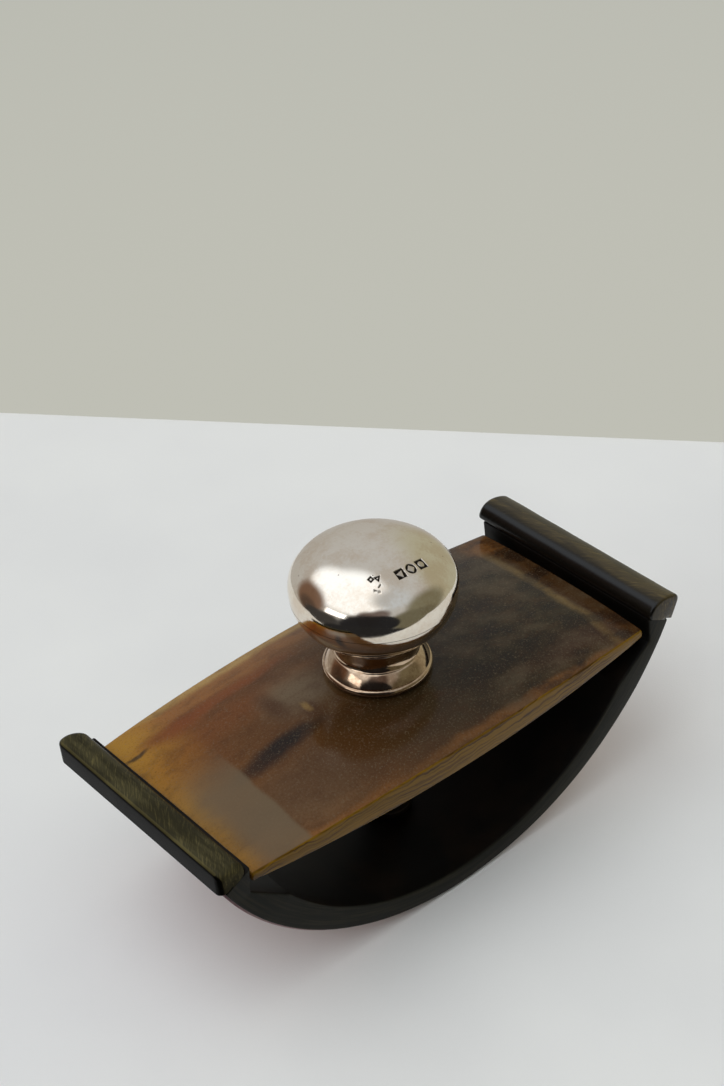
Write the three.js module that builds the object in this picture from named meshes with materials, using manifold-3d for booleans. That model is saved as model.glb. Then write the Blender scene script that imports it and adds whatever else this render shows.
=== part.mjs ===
// Rocker blotter: a bent horn rocker with a sheet of blotting paper round its underside, a cambered
// horn top plate, two horn bars that clamp the ends of the paper, and a silver knob that screws down on
// a bolt through the middle.
// Millimetres. +X runs along the length, +Y across the width, +Z up. The origin is under the middle of
// the object, on the surface that it stands on.

import * as THREE from 'three';
import { mergeVertices } from 'three/addons/utils/BufferGeometryUtils.js';
import Module from 'manifold-3d';

const wasm = await Module();
wasm.setup();

// Rocker and paper
const ROLL_RADIUS = 79;
const END_ANGLE = THREE.MathUtils.degToRad(63);
const ARC_STEPS = 31;
const INNER_STEPS = 18;
const PAPER_THICKNESS = 0.5;
const PAPER_WIDTH = 58;
const PAPER_TUCK = 1.5;
const CLEARANCE = 0.1;
const CUT_PAST = 2;
const ROCKER_WIDTH = 60;
const EDGE_ROUNDING = 0.5;
const FLOOR_THICKNESS = 5;
const LIP_TOP_RADIUS = 70.5;
const NOTCH = { x: 63.4, z: 39.9 };
const SHOULDER = { x: 52.8, z: 31.9 };

// Top plate
const PLATE_HALF_LENGTH = 61.9;
const PLATE_END_HALF_WIDTH = 28.8;
const PLATE_SIDE_BULGE = 2.9;
const PLATE_CORNER_TOP = 43.6;
const PLATE_CORNER_BOTTOM = 41.2;
const PLATE_END_CAMBER = 1;
const PLATE_EDGE_RISE = 1.8;
const PLATE_MIDDLE_CAMBER = 4.4;
const PLATE_EDGE_BELLY = 2.2;
const PLATE_HOLLOW = 5.8;
const CAMBER_POWER = 2.5;
const PLATE_HOLE_RADIUS = 3.2;

// End bars and their pegs
const BAR_LENGTH = 62.8;
const BAR_OFFSET = 1;
const BAR_REBATE = 1.9;
const BAR_REBATE_HEIGHT = 0.7;
const LEFT_BAR = { overhang: 1.3, width: 8.4, height: 6, lean: 2.5, arris: 1.2 };
const RIGHT_BAR = { overhang: 0.8, width: 9.3, height: 7, lean: 0.3, arris: 1.7 };
const PEG_RADIUS = 0.8;
const PEG_HOLE_RADIUS = 1.1;
const PEG_DEPTH = 4.2;
const PEG_IN_BAR = 2.6;
const PEG_INSET = 2.6;
const PEG_SPACING = 40;
const BAR_FULLNESS = 0.62;
const BAR_FOOT = 1;

// Bolt and pillar
const BOLT_RADIUS = 2.25;
const BOLT_TOP = 57;
const BOLT_HEAD_RADIUS = 4.8;
const BOLT_HEAD_BOTTOM = 0.95;
const BOLT_HEAD_HEIGHT = 2.6;
const BOLT_HEAD_RECESS = 0.4;
const BOLT_CHAMFER = 0.8;
const RUNNING_GAP = 0.3;
const PILLAR_RADIUS = 4.6;
const PILLAR_TOP = 44.3;
const PILLAR_LIFT = 0.65;
const PILLAR_FOOT_RADIUS = 6.6;
const PILLAR_HEAD_RADIUS = 6;
const PILLAR_WAIST_RADIUS = 3.8;
const PILLAR_FLANGE = 1.6;

// Knob
const KNOB_BASE = 50.95;
const FOOT_RADIUS = 13.4;
const BEAD_WIDTH = 1.9;
const BEAD_HEIGHT = 2.1;
const BEAD_STEPS = 5;
const WASHER_THICKNESS = 0.9;
const FOOT_PLATE_THICKNESS = 0.8;
const SHOULDER_RADIUS = 12.7;
const CREASE = { r: 10.6, z: 56.1 };
const FOOT_BULGE = 0.15;
const THROAT_DEPTH = 0.5;
const THROAT_RISE = 0.9;
const WAIST = { r: 9.9, z: 58.4 };
const NECK_TOP = { r: 9.9, z: 60.1 };
const COLLAR_TOP = 61.1;
const HEAD_RADIUS = 20.1;
const BOWL_BASE_RADIUS = 10;
const BOWL_FLARE = { r: 14.2, z: 63.2 };
const BOWL_BELLY = { r: 19.2, z: 67.6 };
const BOWL_STEPS = 7;
const BOWL_LEAN = 0.2;
const HEAD_MIDDLE = 75.4;
const HEAD_TOP = 86.9;
const SEAM = { r: 19.92, z: 72.7 };
const SHELL = 0.9;
const SEAM_GAP = 0.15;
const BUSH_RADIUS = 4.4;
const BUSH_TOP = 66;
const BUSH_ROOF = 1.5;
const CORE_NECK_RADIUS = 8;
const COLLAR_RADIUS = 9.85;
const COLLAR_BEAD = 0.3;
const COLLAR_BEADS = 2;
const COLLAR_BORE = 8.4;
const DOME_STEPS = 10;
const RIM_CURVE = 20;

const LATHE_STEPS = 28;
const SMALL_LATHE_STEPS = 16;

const ARC_STEP = (2 * END_ANGLE) / ARC_STEPS;
const ARC_CENTRE = ROLL_RADIUS * Math.cos(ARC_STEP / 2);
const ROCKER_RADIUS = ROLL_RADIUS - PAPER_THICKNESS - CLEARANCE;
const floorTop = ARC_CENTRE - ROCKER_RADIUS + FLOOR_THICKNESS;

const horn = (color, roughness) => new THREE.MeshStandardMaterial({ color, roughness, metalness: 0 });
const metal = (color, roughness) => new THREE.MeshStandardMaterial({ color, roughness, metalness: 1 });
const darkHorn = () => horn(0x2b2a20, 0.4);
const goldHorn = () => horn(0x9a7440, 0.22);
const silver = () => metal(0xd8cfc0, 0.18);
const brass = () => metal(0xb08d4c, 0.35);
const paper = () => horn(0xc98f96, 0.95);
const felt = () => horn(0x4a3a2c, 0.95);
const pitch = () => horn(0x241a14, 0.7);

const group = new THREE.Group();

function addPiece(name, geometry, material) {
  const mesh = new THREE.Mesh(geometry, material);
  mesh.name = name;
  group.add(mesh);
}

// Booleans

function toSolid(geometry) {
  const bare = geometry.clone();
  bare.deleteAttribute('normal');
  bare.deleteAttribute('uv');
  const merged = mergeVertices(bare, 1e-4);
  const vertProperties = new Float32Array(merged.attributes.position.array);
  const triVerts = new Uint32Array(merged.index.array);
  return new wasm.Manifold(new wasm.Mesh({ numProp: 3, vertProperties, triVerts }));
}

function toGeometry(solid) {
  const mesh = solid.getMesh();
  const geometry = new THREE.BufferGeometry();
  geometry.setAttribute('position', new THREE.BufferAttribute(new Float32Array(mesh.vertProperties), 3));
  geometry.setIndex(new THREE.BufferAttribute(new Uint32Array(mesh.triVerts), 1));
  geometry.computeVertexNormals();
  return geometry;
}

function cut(geometry, ...tools) {
  const solid = tools.reduce((rest, tool) => rest.subtract(toSolid(tool)), toSolid(geometry));
  return toGeometry(solid);
}

// Shared shapes

// A point on an arc about the rolling centre, at an angle from straight down.
function onArc(radius, angle) {
  return new THREE.Vector2(radius * Math.sin(angle), ARC_CENTRE - radius * Math.cos(angle));
}

function arcPoints(radius, from, to, steps) {
  return Array.from({ length: steps + 1 }, (_, i) => onArc(radius, from + ((to - from) * i) / steps));
}

// An outline in the XZ plane, drawn out along Y to a width centred on y = 0.
function acrossWidth(points, width, rounding = 0) {
  const geometry = new THREE.ExtrudeGeometry(new THREE.Shape(points), {
    depth: width - 2 * rounding,
    steps: 1,
    bevelEnabled: rounding > 0,
    bevelThickness: rounding,
    bevelSize: rounding,
    bevelOffset: -rounding,
    bevelSegments: 1,
  });
  geometry.rotateX(Math.PI / 2);
  geometry.translate(0, width / 2 - rounding, 0);
  return geometry;
}

// A turned piece about the Z axis, from [radius, z] pairs.
function turned(pairs, steps = LATHE_STEPS) {
  const geometry = new THREE.LatheGeometry(pairs.map(([r, z]) => new THREE.Vector2(r, z)), steps);
  geometry.rotateX(Math.PI / 2);
  return geometry;
}

// A turned ring, whose outline closes on itself; the pairs run anticlockwise.
function turnedRing(pairs, steps = LATHE_STEPS) {
  return turned([...pairs, pairs[0]], steps);
}

function rod(radius, bottom, top, steps = SMALL_LATHE_STEPS) {
  return turned([[0, bottom], [radius, bottom], [radius, top], [0, top]], steps);
}

function curvePairs(curve, steps) {
  return curve.getPoints(steps).map((point) => [point.x, point.y]);
}

// The rocker's end: a face cut square across the bent slab. Its frame has its origin at the outer
// corner, "inward" along the face and "up" out of it.

const endCorner = onArc(ROCKER_RADIUS, END_ANGLE);
const inward = new THREE.Vector2(-Math.sin(END_ANGLE), Math.cos(END_ANGLE));
const upward = new THREE.Vector2(Math.cos(END_ANGLE), Math.sin(END_ANGLE));

function onEnd(along, height) {
  return endCorner.clone().addScaledVector(inward, along).addScaledVector(upward, height);
}

const flip = (point) => new THREE.Vector2(-point.x, point.y);
const mirrored = (points) => points.map(flip).reverse();

// Rocker base

function innerArc() {
  const rise = SHOULDER.z - floorTop;
  const radius = (SHOULDER.x ** 2 + rise ** 2) / (2 * rise);
  const centre = SHOULDER.z - rise + radius;
  const limit = Math.asin(SHOULDER.x / radius);
  return Array.from({ length: INNER_STEPS + 1 }, (_, i) => {
    const angle = limit - (2 * limit * i) / INNER_STEPS;
    return new THREE.Vector2(radius * Math.sin(angle), centre - radius * Math.cos(angle));
  });
}

function peg(side, y, radius, low, high) {
  const geometry = new THREE.CylinderGeometry(radius, radius, high - low, 12);
  const tilt = new THREE.Quaternion().setFromUnitVectors(
    new THREE.Vector3(0, 1, 0),
    new THREE.Vector3(side * upward.x, 0, upward.y),
  );
  geometry.applyQuaternion(tilt);
  const middle = onEnd(PEG_INSET, (low + high) / 2);
  geometry.translate(side * middle.x, y, middle.y);
  return geometry;
}

const pegPlaces = [
  { label: 'near', y: -PEG_SPACING / 2 },
  { label: 'far', y: PEG_SPACING / 2 },
];

function rockerGeometry() {
  const lipTop = onArc(LIP_TOP_RADIUS, END_ANGLE);
  const notch = new THREE.Vector2(NOTCH.x, NOTCH.z);
  const rightEnd = [lipTop, notch];
  const outline = [
    ...arcPoints(ROCKER_RADIUS, -END_ANGLE, END_ANGLE, ARC_STEPS),
    ...rightEnd,
    ...innerArc(),
    ...mirrored(rightEnd),
  ];
  const slab = acrossWidth(outline, ROCKER_WIDTH, EDGE_ROUNDING);
  const boltHole = turned([
    [0, -CUT_PAST],
    [BOLT_HEAD_RADIUS + RUNNING_GAP, -CUT_PAST],
    [BOLT_HEAD_RADIUS + RUNNING_GAP, BOLT_HEAD_BOTTOM + BOLT_HEAD_RECESS],
    [BOLT_RADIUS + RUNNING_GAP, BOLT_HEAD_BOTTOM + BOLT_HEAD_HEIGHT + RUNNING_GAP],
    [BOLT_RADIUS + RUNNING_GAP, floorTop + CUT_PAST],
    [0, floorTop + CUT_PAST],
  ], SMALL_LATHE_STEPS);
  const pegHoles = [-1, 1].flatMap((side) =>
    pegPlaces.map(({ y }) => peg(side, y, PEG_HOLE_RADIUS, -PEG_DEPTH - RUNNING_GAP, CUT_PAST)));
  return cut(slab, boltHole, ...pegHoles);
}

addPiece('rocker_base', rockerGeometry(), darkHorn());

// Blotting paper, with its ends turned in over the rocker's end faces

function paperGeometry() {
  const fold = ROCKER_RADIUS + CLEARANCE;
  const turnIn = [
    onEnd(-CLEARANCE - PAPER_THICKNESS, CLEARANCE + PAPER_THICKNESS),
    onEnd(PAPER_TUCK, CLEARANCE + PAPER_THICKNESS),
    onEnd(PAPER_TUCK, CLEARANCE),
    onEnd(-CLEARANCE, CLEARANCE),
  ];
  const outline = [
    ...arcPoints(ROLL_RADIUS, -END_ANGLE, END_ANGLE, ARC_STEPS),
    ...turnIn,
    ...arcPoints(fold, END_ANGLE, -END_ANGLE, ARC_STEPS),
    ...mirrored(turnIn),
  ];
  return acrossWidth(outline, PAPER_WIDTH);
}

addPiece('blotting_paper', paperGeometry(), paper());

// End bars with a steep outer side and a rounded top, each on two pegs. A rebate along the outer side of
// the seat takes the turned-in end of the paper. Both bars stand out further at the far side.

function barOutline({ overhang, width, height, lean, arris }) {
  const low = CLEARANCE;
  const outer = -overhang;
  const corner = outer + lean;
  const inner = width - overhang;
  const path = new THREE.Path();
  path.moveTo(outer, BAR_REBATE_HEIGHT);
  path.lineTo(corner - (lean * arris) / height, height - arris);
  path.quadraticCurveTo(corner, height, corner + arris, height);
  const crest = corner + BAR_FULLNESS * (inner - corner);
  path.bezierCurveTo(crest, height, inner, BAR_FULLNESS * height, inner, low + BAR_FOOT);
  path.quadraticCurveTo(inner, low, inner - BAR_FOOT, low);
  path.lineTo(BAR_REBATE, low);
  path.lineTo(BAR_REBATE, BAR_REBATE_HEIGHT);
  return path.getPoints(6).map((point) => onEnd(point.x, point.y));
}

function barGeometry(side, size) {
  const outline = barOutline(size);
  const bar = acrossWidth(side > 0 ? outline : mirrored(outline), BAR_LENGTH);
  bar.translate(0, BAR_OFFSET, 0);
  return cut(bar, ...pegPlaces.map(({ y }) =>
    peg(side, y, PEG_RADIUS + CLEARANCE, -CUT_PAST, PEG_IN_BAR + CLEARANCE)));
}

for (const { name, side, size } of [
  { name: 'left', side: -1, size: LEFT_BAR },
  { name: 'right', side: 1, size: RIGHT_BAR },
]) {
  addPiece(`${name}_end_bar`, barGeometry(side, size), darkHorn());
  for (const { label, y } of pegPlaces) {
    addPiece(`${name}_bar_peg_${label}`, peg(side, y, PEG_RADIUS, -PEG_DEPTH, PEG_IN_BAR), brass());
  }
}

// Top plate: a box bent into a barrel-shaped plate, cambered both ways and thickest along its sides

function plateTop(u, v) {
  const across = 1 - Math.abs(v) ** CAMBER_POWER;
  const along = 1 - u * u;
  const endHeight = PLATE_CORNER_TOP + PLATE_END_CAMBER * across;
  return endHeight + along * (PLATE_EDGE_RISE + PLATE_MIDDLE_CAMBER * across);
}

function plateBottom(u, v) {
  const across = 1 - Math.abs(v) ** CAMBER_POWER;
  return PLATE_CORNER_BOTTOM + (1 - u * u) * (PLATE_HOLLOW * across - PLATE_EDGE_BELLY);
}

function plateGeometry() {
  const geometry = new THREE.BoxGeometry(2, 2, 1, 14, 10, 1);
  const position = geometry.attributes.position;
  for (let i = 0; i < position.count; i += 1) {
    const u = position.getX(i);
    const v = position.getY(i);
    const halfWidth = PLATE_END_HALF_WIDTH + PLATE_SIDE_BULGE * (1 - u * u);
    const z = position.getZ(i) > 0 ? plateTop(u, v) : plateBottom(u, v);
    position.setXYZ(i, u * PLATE_HALF_LENGTH, v * halfWidth, z);
  }
  return cut(geometry, rod(PLATE_HOLE_RADIUS, 0, BOLT_TOP));
}

addPiece('top_plate', plateGeometry(), goldHorn());

// Bolt through the rocker, and the pillar that nuts it down and carries the plate

addPiece('centre_bolt', turned([
  [0, BOLT_HEAD_BOTTOM],
  [BOLT_HEAD_RADIUS, BOLT_HEAD_BOTTOM],
  [BOLT_RADIUS, BOLT_HEAD_BOTTOM + BOLT_HEAD_HEIGHT],
  [BOLT_RADIUS, BOLT_TOP - BOLT_CHAMFER],
  [BOLT_RADIUS - BOLT_CHAMFER, BOLT_TOP],
  [0, BOLT_TOP],
], SMALL_LATHE_STEPS), brass());

const pillarBottom = floorTop + PILLAR_LIFT;
addPiece('spacer_pillar', turnedRing([
  [BOLT_RADIUS + RUNNING_GAP, pillarBottom],
  [PILLAR_FOOT_RADIUS, pillarBottom],
  [PILLAR_FOOT_RADIUS, pillarBottom + PILLAR_FLANGE],
  [PILLAR_RADIUS, pillarBottom + 2 * PILLAR_FLANGE],
  [PILLAR_WAIST_RADIUS, (pillarBottom + PILLAR_TOP) / 2],
  [PILLAR_RADIUS, PILLAR_TOP - 2 * PILLAR_FLANGE],
  [PILLAR_HEAD_RADIUS, PILLAR_TOP - PILLAR_FLANGE],
  [PILLAR_HEAD_RADIUS, PILLAR_TOP],
  [BOLT_RADIUS + RUNNING_GAP, PILLAR_TOP],
], SMALL_LATHE_STEPS), brass());

// Knob: silver shells over a pitch core, with a brass bush that takes the bolt

const beadInner = FOOT_RADIUS - BEAD_WIDTH;
const beadTop = KNOB_BASE + BEAD_HEIGHT;
const washerTop = KNOB_BASE + WASHER_THICKNESS;
const footPlateBottom = washerTop + CLEARANCE;
const footPlateTop = footPlateBottom + FOOT_PLATE_THICKNESS;
const neckBottom = beadTop + SEAM_GAP;

addPiece('felt_washer', turnedRing([
  [PLATE_HOLE_RADIUS, KNOB_BASE],
  [beadInner - RUNNING_GAP, KNOB_BASE],
  [beadInner - RUNNING_GAP, washerTop],
  [PLATE_HOLE_RADIUS, washerTop],
]), felt());

function footBeadGeometry() {
  const middle = (KNOB_BASE + beadTop) / 2;
  const half = (beadTop - KNOB_BASE) / 2;
  const rounded = Array.from({ length: BEAD_STEPS + 1 }, (_, i) => {
    const angle = -Math.PI / 2 + (Math.PI * i) / BEAD_STEPS;
    return [FOOT_RADIUS - half + half * Math.cos(angle), middle + half * Math.sin(angle)];
  });
  return turnedRing([[beadInner, KNOB_BASE], ...rounded, [beadInner, beadTop]]);
}

addPiece('knob_foot_bead', footBeadGeometry(), silver());

addPiece('knob_foot_plate', turnedRing([
  [BUSH_RADIUS + CLEARANCE, footPlateBottom],
  [beadInner - RUNNING_GAP, footPlateBottom],
  [beadInner - RUNNING_GAP, footPlateTop],
  [BUSH_RADIUS + CLEARANCE, footPlateTop],
]), silver());

// The outline of the foot and neck, from the bead up to the collar.
function neckOutline(inset) {
  const footMiddle = (SHOULDER_RADIUS + CREASE.r) / 2 + FOOT_BULGE;
  const foot = new THREE.QuadraticBezierCurve(
    new THREE.Vector2(SHOULDER_RADIUS - inset, neckBottom),
    new THREE.Vector2(footMiddle - inset, (neckBottom + CREASE.z) / 2 + FOOT_BULGE),
    new THREE.Vector2(CREASE.r - inset, CREASE.z),
  );
  const throat = new THREE.CubicBezierCurve(
    new THREE.Vector2(CREASE.r - inset, CREASE.z),
    new THREE.Vector2(CREASE.r - THROAT_DEPTH - inset, CREASE.z + FOOT_BULGE),
    new THREE.Vector2(WAIST.r - inset, WAIST.z - THROAT_RISE),
    new THREE.Vector2(WAIST.r - inset, WAIST.z),
  );
  return [
    ...curvePairs(foot, 3),
    ...curvePairs(throat, 5).slice(1),
    [NECK_TOP.r - inset, NECK_TOP.z],
  ];
}

addPiece('knob_neck', turnedRing([...neckOutline(0), ...neckOutline(SHELL).reverse()]), silver());

function collarGeometry() {
  const low = NECK_TOP.z + SEAM_GAP;
  const height = COLLAR_TOP - SEAM_GAP - low;
  const steps = 2 * COLLAR_BEADS;
  const beads = Array.from({ length: steps + 1 }, (_, i) => [
    COLLAR_RADIUS + (i % 2) * COLLAR_BEAD,
    low + (height * i) / steps,
  ]);
  return turnedRing([[COLLAR_BORE, low], ...beads, [COLLAR_BORE, low + height]]);
}

addPiece('knob_neck_collar', collarGeometry(), silver());

// The underside of the head, from the collar out to the seam below the rim.
function bowlOutline(inset) {
  const curve = new THREE.CubicBezierCurve(
    new THREE.Vector2(BOWL_BASE_RADIUS - inset, COLLAR_TOP + BOWL_LEAN * inset),
    new THREE.Vector2(BOWL_FLARE.r - inset, BOWL_FLARE.z + inset),
    new THREE.Vector2(BOWL_BELLY.r - inset, BOWL_BELLY.z + inset),
    new THREE.Vector2(SEAM.r - inset, SEAM.z - SEAM_GAP),
  );
  return curvePairs(curve, BOWL_STEPS);
}

addPiece('knob_bowl', turnedRing([...bowlOutline(0), ...bowlOutline(SHELL).reverse()]), silver());

// The dome, from the seam round the rim and up to the crown.
function domeOutline(inset) {
  const start = Math.asin((SEAM.z - HEAD_MIDDLE) / RIM_CURVE);
  return Array.from({ length: DOME_STEPS + 1 }, (_, i) => {
    const angle = start + ((Math.PI / 2 - start) * i) / DOME_STEPS;
    const height = angle > 0 ? HEAD_TOP - HEAD_MIDDLE : RIM_CURVE;
    const z = Math.max(SEAM.z + SEAM_GAP, HEAD_MIDDLE + (height - inset) * Math.sin(angle));
    return [i < DOME_STEPS ? (HEAD_RADIUS - inset) * Math.cos(angle) : 0, z];
  });
}

addPiece('knob_dome', turned([...domeOutline(SHELL).reverse(), ...domeOutline(0)]), silver());

// Pitch core, a shade smaller than the hollow in the shells, with a blind hole for the bush.
function coreGeometry() {
  const gap = SHELL + RUNNING_GAP;
  const dome = domeOutline(gap).slice(1);
  return turned([
    [0, BUSH_TOP + CLEARANCE],
    [BUSH_RADIUS + CLEARANCE, BUSH_TOP + CLEARANCE],
    [BUSH_RADIUS + CLEARANCE, footPlateTop + CLEARANCE],
    [CREASE.r, footPlateTop + CLEARANCE],
    ...neckOutline(gap).slice(2, -1),
    [CORE_NECK_RADIUS, NECK_TOP.z],
    [CORE_NECK_RADIUS, COLLAR_TOP],
    ...bowlOutline(gap).slice(1),
    ...dome,
  ]);
}

addPiece('knob_core', coreGeometry(), pitch());

addPiece('threaded_bush', turned([
  [0, BUSH_TOP - BUSH_ROOF],
  [BOLT_RADIUS + RUNNING_GAP, BUSH_TOP - 2 * BUSH_ROOF],
  [BOLT_RADIUS + RUNNING_GAP, footPlateBottom],
  [BUSH_RADIUS, footPlateBottom],
  [BUSH_RADIUS, BUSH_TOP],
  [0, BUSH_TOP],
], SMALL_LATHE_STEPS), brass());

export default group;
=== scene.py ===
import math

import bmesh
import bpy
import numpy as np
from mathutils import Matrix, Vector, noise


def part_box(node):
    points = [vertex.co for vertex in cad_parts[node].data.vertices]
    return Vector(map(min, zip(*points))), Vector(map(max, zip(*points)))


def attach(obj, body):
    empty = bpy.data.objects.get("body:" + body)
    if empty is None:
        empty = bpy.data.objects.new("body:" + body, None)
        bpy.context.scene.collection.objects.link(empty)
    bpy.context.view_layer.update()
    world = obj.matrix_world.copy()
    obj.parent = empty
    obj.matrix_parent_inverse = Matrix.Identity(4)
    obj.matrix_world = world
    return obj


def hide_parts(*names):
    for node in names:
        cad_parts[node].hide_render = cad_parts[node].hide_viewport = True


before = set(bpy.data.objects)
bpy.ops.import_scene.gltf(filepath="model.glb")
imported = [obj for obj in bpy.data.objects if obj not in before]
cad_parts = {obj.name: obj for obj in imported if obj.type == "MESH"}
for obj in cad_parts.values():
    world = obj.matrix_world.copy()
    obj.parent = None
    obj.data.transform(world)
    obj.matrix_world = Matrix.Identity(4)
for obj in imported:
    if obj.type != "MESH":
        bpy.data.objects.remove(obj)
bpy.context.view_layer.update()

MM = 0.001


def add_object(name, data):
    made = bpy.data.objects.new(name, data)
    bpy.context.scene.collection.objects.link(made)
    return made


def box_mm(node):
    """Lowest and highest corner of a CAD node, in millimetres."""
    low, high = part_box(node)
    return low / MM, high / MM


# Camera and stage

LENS = 68.7
CAMERA_AZIMUTH = math.radians(-38.6)
CAMERA_ELEVATION = math.radians(35.57)
CAMERA_ROLL = math.radians(-3.44)
CAMERA_DISTANCE = 527.7
CAMERA_AIM = Vector((24.03, 33.34, 57.4))


def make_camera():
    data = bpy.data.cameras.new("camera")
    data.lens = LENS
    data.sensor_width = 36
    camera = add_object("camera", data)
    back = Vector((
        math.sin(CAMERA_AZIMUTH) * math.cos(CAMERA_ELEVATION),
        -math.cos(CAMERA_AZIMUTH) * math.cos(CAMERA_ELEVATION),
        math.sin(CAMERA_ELEVATION),
    ))
    turn = (-back).to_track_quat("-Z", "Y").to_matrix().to_4x4()
    place = Matrix.Translation((CAMERA_AIM + back * CAMERA_DISTANCE) * MM)
    camera.matrix_world = place @ turn @ Matrix.Rotation(CAMERA_ROLL, 4, "Z")
    data.clip_start = 0.01
    data.clip_end = 20
    bpy.context.scene.camera = camera


make_camera()


# Node helper

class Nodes:
    """A node tree and short calls that add nodes to it. Most calls return an output socket."""

    def __init__(self, tree):
        self.tree = tree

    def fill(self, socket, value):
        if isinstance(value, bpy.types.NodeSocket):
            self.tree.links.new(value, socket)
        else:
            socket.default_value = value

    def node(self, kind, inputs=(), **settings):
        """All outputs of a new node, its inputs given in order or by name."""
        made = self.tree.nodes.new(kind)
        for name, value in settings.items():
            setattr(made, name, value)
        for key, value in inputs.items() if isinstance(inputs, dict) else enumerate(inputs):
            self.fill(made.inputs[key], value)
        return made.outputs

    def math(self, operation, *values):
        return self.node("ShaderNodeMath", values, operation=operation)[0]

    def times(self, first, second):
        return self.math("MULTIPLY", first, second)

    def vector(self, operation, *values):
        made = self.node("ShaderNodeVectorMath", values, operation=operation)
        return made["Value" if operation in ("LENGTH", "DOT_PRODUCT") else "Vector"]

    def stretch(self, place, factors):
        return self.vector("MULTIPLY", place, factors)

    def split(self, vector):
        return self.node("ShaderNodeSeparateXYZ", [vector])

    def join(self, x, y, z):
        return self.node("ShaderNodeCombineXYZ", (x, y, z))[0]

    def noise(self, vector, scale=1.0, detail=4.0, roughness=0.55):
        inputs = {"Vector": vector, "Scale": scale, "Detail": detail, "Roughness": roughness}
        return self.node("ShaderNodeTexNoise", inputs)[0]

    def band(self, value, low, high, start=0.0, end=1.0):
        """Smooth step of value from start, at low, to end, at high."""
        inputs = (value, low, high, start, end)
        return self.node("ShaderNodeMapRange", inputs, interpolation_type="SMOOTHSTEP")[0]

    def mix(self, share, first, second):
        return self.node("ShaderNodeMix", {0: share, 6: first, 7: second}, data_type="RGBA")[2]

    def bump(self, height, distance, normal=None):
        """A normal raised by distance, in millimetres, where height is 1."""
        inputs = {"Distance": distance * MM, "Height": height}
        if normal is not None:
            inputs["Normal"] = normal
        return self.node("ShaderNodeBump", inputs)[0]


class Shader(Nodes):
    """The nodes of a new material, with the place on the piece in millimetres and the way it faces."""

    def __init__(self, name):
        self.material = bpy.data.materials.new(name)
        self.material.use_nodes = True
        super().__init__(self.material.node_tree)
        self.surface = self.tree.nodes["Principled BSDF"]
        spot = self.node("ShaderNodeTexCoord")
        self.facing = spot["Normal"]
        self.mm = self.stretch(spot["Object"], (1 / MM,) * 3)

    def finish(self, **values):
        """Sets the surface's sockets; an underscore in a name stands for a space."""
        for name, value in values.items():
            self.fill(self.surface.inputs[name.replace("_", " ")], value)
        return self.material


def colour(red, green, blue):
    """A linear colour from sRGB values of 0 to 255."""
    def linear(value):
        value /= 255
        return value / 12.92 if value <= 0.04045 else ((value + 0.055) / 1.055) ** 2.4
    return (linear(red), linear(green), linear(blue), 1)


# Meshes

def new_mesh(name, points, faces):
    """A mesh from points in millimetres, its faces turned outward."""
    mesh = bpy.data.meshes.new(name)
    mesh.from_pydata([Vector(point) * MM for point in points], [], faces)
    work = bmesh.new()
    work.from_mesh(mesh)
    bmesh.ops.recalc_face_normals(work, faces=work.faces)
    work.to_mesh(mesh)
    work.free()
    return mesh


SHARP_ANGLE = math.radians(35)


def make_piece(name, points, faces, material, body, node, slot):
    """A mesh object in place of a CAD node, from points in millimetres."""
    mesh = new_mesh(name, points, faces)
    mesh.shade_smooth()
    mesh.set_sharp_from_angle(angle=SHARP_ANGLE)
    mesh.materials.append(material)
    piece = add_object(name, mesh)
    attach(piece, body)
    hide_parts(node)
    return piece


def loft(sections):
    """Points and faces of a skin over closed sections of equal length, capped at both ends."""
    count = len(sections[0])
    points = [point for section in sections for point in section]
    faces = []
    for i in range(len(sections) - 1):
        for j in range(count):
            k = (j + 1) % count
            faces.append((i * count + j, i * count + k, (i + 1) * count + k, (i + 1) * count + j))
    faces.append(tuple(range(count - 1, -1, -1)))
    faces.append(tuple((len(sections) - 1) * count + j for j in range(count)))
    return points, faces


def lathe(outline, columns=96, angles=None, shape=None):
    """Points and faces of a turned piece, from [radius, height] pairs that run anticlockwise.

    The outline closes on itself, or starts and ends on the axis. shape moves a point, if given.
    """
    angles = angles if angles is not None else [math.tau * i / columns for i in range(columns)]
    closed = outline[0][0] > 0
    points, rows = [], []
    for radius, height in outline:
        if radius <= 0:
            rows.append([len(points)] * len(angles))
            points.append((0.0, 0.0, height))
            continue
        rows.append([len(points) + i for i in range(len(angles))])
        points += [(radius * math.cos(a), radius * math.sin(a), height) for a in angles]
    if shape:
        points = [shape(Vector(point)) for point in points]
    faces = []
    pairs = list(zip(rows, rows[1:])) + ([(rows[-1], rows[0])] if closed else [])
    for low, high in pairs:
        for i in range(len(angles)):
            k = (i + 1) % len(angles)
            corners = tuple(dict.fromkeys((low[i], low[k], high[k], high[i])))
            if len(corners) > 2:
                faces.append(corners)
    return points, faces


def cut(piece, *tools):
    """Cuts closed meshes, given as points and faces, out of a piece."""
    for points, faces in tools:
        tool = add_object("tool", new_mesh("tool", points, faces))
        modifier = piece.modifiers.new("cut", "BOOLEAN")
        modifier.operation = "DIFFERENCE"
        modifier.solver = "EXACT"
        modifier.object = tool
        view = bpy.context.evaluated_depsgraph_get()
        result = bpy.data.meshes.new_from_object(piece.evaluated_get(view))
        piece.modifiers.remove(modifier)
        piece.data = result
        bpy.data.objects.remove(tool)


def curve(start, *rest, steps):
    """Points of a Bezier curve with two or three more control points, the first one left out."""
    controls = [np.array(point, float) for point in (start, *rest)]
    degree = len(controls) - 1
    made = []
    for i in range(1, steps + 1):
        t = i / steps
        weights = [math.comb(degree, k) * t ** k * (1 - t) ** (degree - k) for k in range(degree + 1)]
        made.append(tuple(sum(w * c for w, c in zip(weights, controls))))
    return made


def swell(point, size, seed):
    """Smooth noise from -1 to 1 with features of a size in millimetres."""
    return noise.noise(Vector(point) / size + Vector((seed, 0, 0)))


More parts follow.
